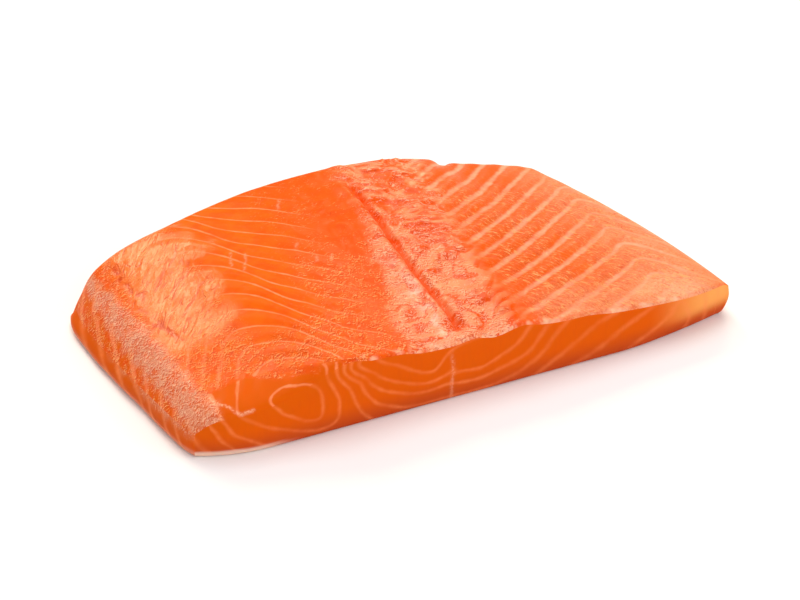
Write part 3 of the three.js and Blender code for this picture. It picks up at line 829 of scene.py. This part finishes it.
class Graph:
    """A material's node tree, with one short call for each kind of node."""

    def __init__(self, name):
        self.material = bpy.data.materials.new(name)
        self.material.use_nodes = True
        self.nodes = self.material.node_tree.nodes
        self.links = self.material.node_tree.links
        self.shader = self.nodes["Principled BSDF"]

    def node(self, kind, inputs=None, **settings):
        made = self.nodes.new(kind)
        for key, value in settings.items():
            setattr(made, key, value)
        for key, value in (inputs or {}).items():
            self.feed(made.inputs[key], value)
        return made

    def feed(self, socket, value):
        if isinstance(value, bpy.types.NodeSocket):
            self.links.new(value, socket)
        else:
            socket.default_value = value

    def fields(self, names):
        """The mesh's fields with these names, as attributes of one object."""
        return SimpleNamespace(**{
            name: self.node("ShaderNodeAttribute", attribute_name=name).outputs["Fac"] for name in names
        })

    def math(self, operation, a, b=0.0):
        return self.node("ShaderNodeMath", {0: a, 1: b}, operation=operation).outputs[0]

    def times(self, *values):
        total = values[0]
        for value in values[1:]:
            total = self.math("MULTIPLY", total, value)
        return total

    def plus(self, *values):
        total = values[0]
        for value in values[1:]:
            total = self.math("ADD", total, value)
        return total

    def minus(self, a, b):
        return self.math("SUBTRACT", a, b)

    def capped(self, value, limit=1.0):
        return self.math("MINIMUM", value, limit)

    def off_middle(self, value):
        """How far a value is from one half."""
        return self.math("ABSOLUTE", self.minus(value, 0.5))

    def weighed(self, zones, shares):
        """The sum of the zones, each times its share."""
        return self.plus(*(self.times(getattr(zones, name), share) for name, share in shares.items()))

    def step(self, value, start, end, low=0.0, high=1.0):
        """Eases from low at start to high at end."""
        return self.node(
            "ShaderNodeMapRange",
            {"Value": value, "From Min": start, "From Max": end, "To Min": low, "To Max": high},
            interpolation_type="SMOOTHSTEP",
        ).outputs[0]

    def blend(self, amount, a, b):
        made = self.node("ShaderNodeMix", data_type="RGBA")
        self.feed(made.inputs["Factor"], amount)
        self.feed(made.inputs["A"], a)
        self.feed(made.inputs["B"], b)
        return made.outputs["Result"]

    def place(self, turn=0.0, stretch=(1, 1, 1), shift=(0, 0, 0)):
        """Coordinates turned about Z and then stretched, so that patterns run long in that direction."""
        coordinates = self.node("ShaderNodeTexCoord").outputs["Object"]
        mapping = self.node("ShaderNodeMapping", {"Vector": coordinates}, vector_type="TEXTURE")
        mapping.inputs["Rotation"].default_value = (0, 0, math.radians(turn))
        mapping.inputs["Scale"].default_value = stretch
        mapping.inputs["Location"].default_value = shift
        return mapping.outputs[0]

    def noise(self, size, detail=2.0, roughness=0.5, distortion=0.0, where=None):
        """Noise from 0 to 1 whose blotches are about size millimetres."""
        return self.node("ShaderNodeTexNoise", {
            "Vector": where or self.place(), "Scale": 1 / (size * MM), "Detail": detail,
            "Roughness": roughness, "Distortion": distortion,
        }).outputs["Fac"]


def colour(red, green, blue):
    """An sRGB colour from 0 to 255 as a linear one."""
    def linear(c):
        c /= 255
        return c / 12.92 if c <= 0.04045 else ((c + 0.055) / 1.055) ** 2.4
    return (linear(red), linear(green), linear(blue), 1.0)


# Colours of the flesh, of its sheets and of what lies on it, and of the painted highlights and shade
ORANGE = colour(244, 103, 8)
ORANGE_DEEP = colour(238, 90, 6)
RED = colour(238, 84, 6)
RED_DEEP = colour(232, 78, 8)
# Painted shade: darkens the creases, streaks, wrinkles, the hollows between fibres and the crumpled skin's
# slopes turned from the light
PAINTED_SHADE = colour(214, 60, 4)
# Painted highlight: the glints on the belly's fibres and on the crumpled skin
PAINTED_GLINT = colour(255, 184, 112)
# Pale colour of the torn membrane's fray and threads, and also of the painted glints and sparkles
PALE_FRAY_AND_GLINT = colour(255, 200, 164)
# Pale membrane on the fold crests: partly its own colour, partly painted highlight
PALE_MEMBRANE_AND_SHEEN = colour(255, 166, 114)
# Painted highlight on the lip beside the groove
PAINTED_LIP_SHINE = colour(255, 200, 176)
# Painted sheen of the wet gloss zone
PAINTED_SHEEN = colour(246, 124, 50)
PLATEAU_LINE = colour(255, 150, 100)
BELLY = colour(236, 92, 10)
BELLY_LINE = colour(255, 160, 122)
BELLY_PALE = colour(255, 172, 128)
# Deeper orange of the near slope and the spine flank: partly the flesh's own tone, partly painted shade
SLOPE_TONE_AND_SHADE = colour(224, 92, 0)
CUT = colour(226, 91, 0)
CUT_LINE = colour(252, 140, 80)
# Darker colour of the cut's striae, and painted shade towards the foot of the cut
CUT_STRIAE_AND_SHADE = colour(196, 74, 26)
CUT_PALE = colour(255, 174, 92)
SILVER = colour(230, 158, 124)
FAT = colour(244, 206, 186)

# The fields of the mesh, which say where each zone lies
FIELDS = (
    "sheet", "sheet_gap", "line", "line_half", "membrane", "crest", "paleness", "red", "silver",
    "gloss", "slope", "ragged", "groove", "crinkle", "shine", "fibre", "fibrous", "pale", "streak",
    "thread", "cut", "low", "fat",
)

# Shift that shows which slopes of the crumpled skin are lit for the painted glints and shade, and the
# zones' shares of painted sparkles and of wetness
TOWARDS_LIGHT = (0.05 * MM, -0.28 * MM, 0)
SPARKLE_SHARES = {"crinkled": 1.0, "silver": 0.9, "membrane": 0.4, "fibrous": 0.4, "gloss": 0.3}
WET_SHARES = {"gloss": 0.5, "crinkle": 0.15, "membrane": 0.34, "silver": 0.25, "fibre": 0.28}
WET_EVERYWHERE = 0.01

# Heights of the material's fine relief, in millimetres for each whole step of its pattern
CRUMPLE_RELIEF = 0.55
SWELL_RELIEF = 0.18
LONG_WRINKLE_RELIEF = -0.08
MOTTLE_RELIEF = 0.15
SPARKLE_RELIEF = 0.05
FIBRE_RELIEF = 0.5
LINE_RELIEF = -0.05
STRIA_RELIEF = 0.03


def crumple(g, size, turn=0.0, stretch=(1, 1, 1)):
    """Ridged noise of the wet skin: its height, and its rise towards the light behind the portion."""
    def height(shift):
        return g.off_middle(g.noise(size, 2.0, 0.55, 1.2, g.place(turn, stretch, shift)))
    here = height((0, 0, 0))
    return here, g.minus(here, height(TOWARDS_LIGHT))


def wet_skin(g, zone):
    """The crumpled wet skin: its height, and its lit and shaded slopes, sparkles and long wrinkles, which
    the colour paints as highlight and shade.
    """
    patchy = g.step(g.noise(3.0, 2.0), 0.4, 0.6, 0.3, 1.0)
    clear_of_groove = g.minus(1.0, zone.groove)
    zone.crinkled = g.times(zone.crinkle, patchy, clear_of_groove)
    folds = g.times(zone.membrane, clear_of_groove, g.step(g.noise(3.6, 2.0), 0.4, 0.62, 0.15, 1.0))
    even, even_rise = crumple(g, 1.3)
    folded, folded_rise = crumple(g, 1.2, -25, (2.6, 0.9, 1.0))
    swept, swept_rise = crumple(g, 1.7, 50, (3.0, 0.8, 1.0))
    height = g.plus(
        g.times(even, g.plus(zone.crinkled, g.times(zone.silver, 0.5))),
        g.times(folded, folds),
        g.times(swept, zone.gloss, 0.5),
    )
    rise = g.plus(
        g.times(even_rise, g.capped(g.plus(zone.crinkled, zone.silver)), 1.35),
        g.times(folded_rise, folds),
        g.times(swept_rise, zone.gloss, patchy, 0.75),
        g.times(even_rise, zone.fibrous, 0.3),
    )
    wrinkle = g.step(g.off_middle(g.noise(2.4, 1.0, 0.5, 0.5, g.place(50, (4.5, 0.8, 1.0)))), 0.035, 0.0)
    # Scattered sparkles, painted into the colour as highlight
    sparkles = g.step(g.noise(0.6, 1.0, 0.5, 0.6), 0.62, 0.74)
    return SimpleNamespace(
        height=height,
        glints=g.step(rise, 0.025, 0.085),
        shades=g.step(rise, -0.02, -0.075),
        sparkles=g.times(sparkles, g.capped(g.weighed(zone, SPARKLE_SHARES))),
        long_wrinkles=g.times(wrinkle, zone.gloss, g.step(g.noise(4.5, 1.0), 0.45, 0.58)),
    )


def sheet_lines(g, zone):
    """The pale sheets between the blocks of muscle, softer on the cuts than on the top."""
    wobble = g.times(g.minus(g.noise(5.0, 3.0), 0.5), g.step(zone.cut, 0.0, 1.0, 0.09, 0.04))
    phase = g.math("FRACT", g.plus(zone.sheet, wobble, 0.5))
    off_line = g.times(g.off_middle(phase), zone.sheet_gap)
    soft = g.times(zone.line_half, g.step(zone.cut, 0.0, 1.0, 0.7, 1.25))
    thickness = g.times(zone.line_half, g.step(g.noise(2.6, 2.0), 0.3, 0.7, 0.7, 1.25))
    line = g.step(off_line, g.plus(thickness, soft), g.minus(thickness, soft))
    broken = g.step(g.noise(1.6, 3.0), 0.3, 0.6, 0.7, 1.0)
    fading = g.step(g.noise(9.0, 1.0), 0.32, 0.6, 0.55, 1.0)
    return g.times(line, zone.line, broken, fading)


def flesh_colour(g, zone, pattern, skin, line):
    """The colour, zone by zone: flesh first, then the sheets, then what lies on the surface, with the
    painted highlights and shade.
    """
    base = g.blend(g.step(pattern.mottle, 0.35, 0.7), ORANGE, ORANGE_DEEP)
    base = g.blend(g.times(zone.fibre, 0.9), base, BELLY)
    base = g.blend(g.times(zone.pale, g.step(pattern.grain, 0.3, 0.65, 0.5, 1.0)), base, BELLY_PALE)
    base = g.blend(zone.red, base, RED)
    base = g.blend(zone.cut, base, CUT)
    # The near slope and the flank: partly their own deeper tone, partly painted shade
    base = g.blend(zone.slope, base, SLOPE_TONE_AND_SHADE)
    base = g.blend(g.times(zone.cut, g.step(pattern.striae, 0.45, 0.7), 0.08), base, CUT_STRIAE_AND_SHADE)
    base = g.blend(g.times(zone.cut, zone.pale), base, CUT_PALE)
    base = g.blend(g.times(zone.crinkle, g.step(g.noise(2.2, 3.0), 0.4, 0.56), 0.65), base, RED_DEEP)
    # Painted shade towards the foot of the cut
    base = g.blend(g.times(zone.cut, zone.low), base, CUT_STRIAE_AND_SHADE)
    # Painted shade in the hollows between the belly's fibres
    base = g.blend(g.times(zone.fibrous, g.step(pattern.fibres, 0.45, 0.34), 0.5), base, PAINTED_SHADE)

    line_colour = g.blend(zone.fibre, PLATEAU_LINE, BELLY_LINE)
    line_colour = g.blend(zone.cut, line_colour, CUT_LINE)
    base = g.blend(line, base, line_colour)

    # Painted highlight on the crests of the belly's fibres
    base = g.blend(g.times(zone.fibrous, g.step(pattern.fibres, 0.53, 0.66), 0.65), base, PAINTED_GLINT)
    # Painted sheen over the gloss zone
    base = g.blend(g.times(zone.gloss, g.step(pattern.mottle, 0.3, 0.6, 0.55, 0.95)), base, PAINTED_SHEEN)
    # The membrane's crests are paler: partly its own colour, partly painted highlight
    uneven_crest = g.plus(zone.crest, g.times(g.minus(pattern.mottle, 0.5), 1.6))
    pale_and_lit_fold = g.times(zone.membrane, g.step(uneven_crest, 0.2, 1.0))
    base = g.blend(g.times(pale_and_lit_fold, zone.paleness), base, PALE_MEMBRANE_AND_SHEEN)
    # Painted highlight on the lip beside the groove
    base = g.blend(g.times(zone.shine, g.step(g.noise(2.6, 3.0), 0.42, 0.66), 0.8), base, PAINTED_LIP_SHINE)
    base = g.blend(g.times(zone.groove, 0.9), base, RED_DEEP)
    # Painted shade in the knife streaks and the row of creases
    base = g.blend(g.capped(g.times(zone.streak, 0.6), 0.85), base, PAINTED_SHADE)
    # Painted shade in the long wrinkles of the gloss zone
    base = g.blend(g.times(skin.long_wrinkles, 0.6), base, PAINTED_SHADE)
    torn = g.step(g.plus(pattern.mottle, pattern.grain), 0.8, 1.15, 0.2, 1.0)
    base = g.blend(g.times(zone.silver, torn, 0.8), base, SILVER)
    base = g.blend(g.times(zone.ragged, 0.7), base, PALE_FRAY_AND_GLINT)
    # Painted shade on the crumpled skin's slopes that face away from the light behind the portion
    base = g.blend(g.times(skin.shades, 0.65), base, PAINTED_SHADE)
    # Painted highlight: glints on the crumpled skin's slopes towards the light, and scattered sparkles
    glint_colour = g.blend(g.capped(g.plus(zone.membrane, zone.silver)), PAINTED_GLINT, PALE_FRAY_AND_GLINT)
    base = g.blend(g.times(skin.glints, 0.6), base, glint_colour)
    base = g.blend(g.times(skin.sparkles, 0.7), base, glint_colour)
    base = g.blend(g.times(zone.fat, 0.9), base, FAT)
    return g.blend(g.times(zone.thread, g.step(pattern.grain, 0.35, 0.6, 0.15, 0.8)), base, PALE_FRAY_AND_GLINT)


def flesh_relief(g, zone, pattern, skin, line):
    """Height in millimetres of what is finer than the mesh: crinkles, fibres, striae of the cut."""
    swells = g.noise(2.6, 1.0, 0.4, 0.6, g.place(48, (1.8, 0.9, 1.0)))
    return g.plus(
        g.times(skin.height, CRUMPLE_RELIEF),
        g.times(swells, zone.gloss, SWELL_RELIEF),
        g.times(skin.long_wrinkles, LONG_WRINKLE_RELIEF),
        g.times(g.minus(pattern.mottle, 0.5), MOTTLE_RELIEF),
        g.times(skin.sparkles, SPARKLE_RELIEF),
        g.times(pattern.fibres, zone.fibrous, FIBRE_RELIEF),
        g.times(line, LINE_RELIEF),
        g.times(zone.cut, pattern.striae, STRIA_RELIEF),
    )


def flesh_material():
    g = Graph("flesh")
    zone = g.fields(FIELDS)
    zone.fibrous = g.times(zone.fibrous, g.step(g.noise(7.0, 2.0), 0.35, 0.62, 0.35, 1.0))
    pattern = SimpleNamespace(
        mottle=g.noise(4.0, 3.0),
        grain=g.noise(0.55, 2.0, distortion=0.6),
        fibres=g.noise(0.6, 2.0, 0.6, 1.0, g.place(-50, (3.6, 0.9, 1.0))),
        striae=g.noise(0.7, 2.0, 0.6, 0.2, g.place(0, (1.0, 1.0, 5.0))),
    )
    skin = wet_skin(g, zone)
    line = sheet_lines(g, zone)
    height = flesh_relief(g, zone, pattern, skin, line)
    bump = g.node("ShaderNodeBump", {"Height": height, "Strength": 1.0, "Distance": MM}).outputs[0]
    wet = g.capped(g.plus(g.weighed(zone, WET_SHARES), WET_EVERYWHERE))
    dry_groove = g.minus(1.0, g.times(zone.groove, 0.9))

    shader = g.shader.inputs
    g.feed(shader["Base Color"], flesh_colour(g, zone, pattern, skin, line))
    g.feed(shader["Normal"], bump)
    g.feed(shader["Coat Normal"], bump)
    g.feed(shader["Roughness"], g.step(pattern.grain, 0.3, 0.7, 0.38, 0.5))
    g.feed(shader["Coat Weight"], g.times(wet, dry_groove))
    shader["Coat Roughness"].default_value = 0.1
    shader["Coat IOR"].default_value = 1.55
    shader["Specular IOR Level"].default_value = 0.03
    shader["Subsurface Weight"].default_value = 0.3
    shader["Subsurface Radius"].default_value = (1.0, 0.32, 0.12)
    shader["Subsurface Scale"].default_value = 2.0 * MM
    return g.material


def floor_material():
    g = Graph("floor")
    tone = g.noise(60.0, 2.0)
    g.feed(g.shader.inputs["Base Color"], g.blend(tone, (0.96, 0.96, 0.96, 1), (0.98, 0.98, 0.98, 1)))
    g.shader.inputs["Roughness"].default_value = 0.9
    return g.material


portion, shift = make_portion()
portion.data.materials.append(flesh_material())
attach(portion, "root")
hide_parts("fillet")

# Floor, a hair below the underside
FLOOR_HALF = 3.0
FLOOR_DROP = 0.00003
bpy.ops.mesh.primitive_grid_add(
    x_subdivisions=4, y_subdivisions=4, size=2 * FLOOR_HALF, location=(0, 0, -FLOOR_DROP),
)
floor = bpy.context.object
floor.name = "floor"
floor.data.materials.append(floor_material())

# Camera: turned towards the spine side and looking down, as the photograph was taken
CAMERA_AZIMUTH = math.radians(-25.3)
CAMERA_ELEVATION = math.radians(33)
CAMERA_DISTANCE = 0.650
CAMERA_TARGET = Vector((4.15, 5.25, 0.0))
CAMERA_LENS = 125.37
CAMERA_SENSOR = 36.0
back = Vector((
    math.sin(CAMERA_AZIMUTH) * math.cos(CAMERA_ELEVATION),
    -math.cos(CAMERA_AZIMUTH) * math.cos(CAMERA_ELEVATION),
    math.sin(CAMERA_ELEVATION),
))
camera = bpy.data.objects.new("camera", bpy.data.cameras.new("camera"))
camera.data.sensor_width = CAMERA_SENSOR
camera.data.lens = CAMERA_LENS
camera.data.clip_start = 0.01
camera.data.clip_end = 20.0
camera.location = (CAMERA_TARGET + Vector(shift)) * MM + back * CAMERA_DISTANCE
camera.rotation_euler = back.to_track_quat("Z", "Y").to_euler()
bpy.context.scene.collection.objects.link(camera)
bpy.context.scene.camera = camera


def softbox(name, azimuth, elevation, distance, size, watts, tint=(1, 1, 1)):
    """A square light panel that faces the portion. Azimuth 0 stands behind it, 90 on its belly side."""
    a, e = math.radians(azimuth), math.radians(elevation)
    towards = Vector((math.sin(a) * math.cos(e), math.cos(a) * math.cos(e), math.sin(e)))
    panel = bpy.data.lights.new(name, "AREA")
    panel.shape = "SQUARE"
    panel.size = size
    panel.energy = watts
    panel.color = tint
    lamp = bpy.data.objects.new(name, panel)
    lamp.location = towards * distance
    lamp.rotation_euler = towards.to_track_quat("Z", "Y").to_euler()
    bpy.context.scene.collection.objects.link(lamp)


WARM = (1.0, 0.8, 0.52)
softbox("overhead", azimuth=20, elevation=78, distance=1.4, size=1.1, watts=11.0)
softbox("rear", azimuth=-4, elevation=38, distance=1.2, size=0.42, watts=5.4, tint=WARM)
softbox("rear_right", azimuth=34, elevation=32, distance=1.2, size=0.36, watts=3.2, tint=WARM)
softbox("front_fill", azimuth=-155, elevation=35, distance=1.5, size=1.2, watts=8.6)
softbox("front_right", azimuth=128, elevation=22, distance=1.5, size=0.9, watts=5.6)

WORLD_STRENGTH = 0.22
world = bpy.data.worlds.new("studio")
world.use_nodes = True
background = world.node_tree.nodes["Background"].inputs
background["Color"].default_value = (1, 1, 1, 1)
background["Strength"].default_value = WORLD_STRENGTH
bpy.context.scene.world = world
bpy.context.scene.view_settings.view_transform = "Standard"
